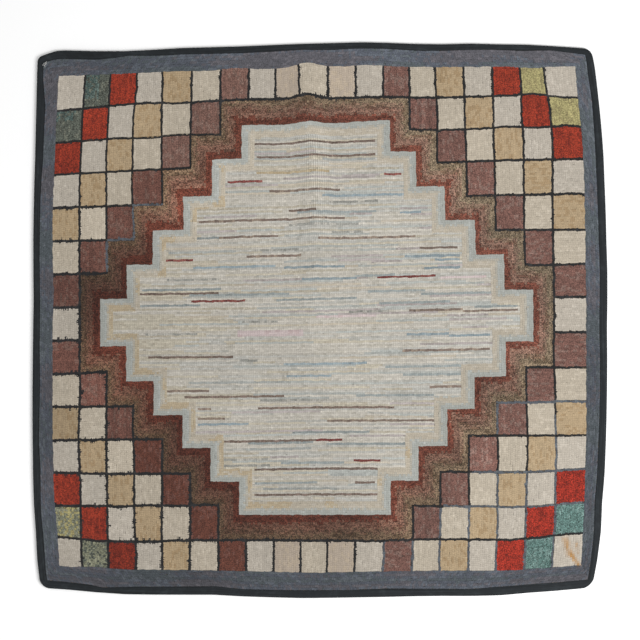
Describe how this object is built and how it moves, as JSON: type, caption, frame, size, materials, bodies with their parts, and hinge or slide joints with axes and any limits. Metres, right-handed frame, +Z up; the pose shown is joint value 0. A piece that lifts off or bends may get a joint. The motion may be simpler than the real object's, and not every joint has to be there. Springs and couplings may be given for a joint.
{
  "type": "hooked rug",
  "caption": "Nearly square hooked rug with bowed sides, a stepped lozenge field, blocks of colour in its corners and a tape-bound edge.",
  "frame": {"origin": "on the surface that the rug lies on, under the middle of its box", "axes": "+Z up out of the pile, +X to the right and +Y to the top of the rug as it is seen from above"},
  "size_m": [1.328, 1.283, 0.0139],
  "materials": {
    "hooked_wool": "looped wool yarn pile, matt",
    "cotton_tape": "woven cotton tape, slight sheen"
  },
  "bodies": {
    "root": {"hooked_panel": "hooked_wool", "edge_binding": "cotton_tape"}
  },
  "joints": []
}
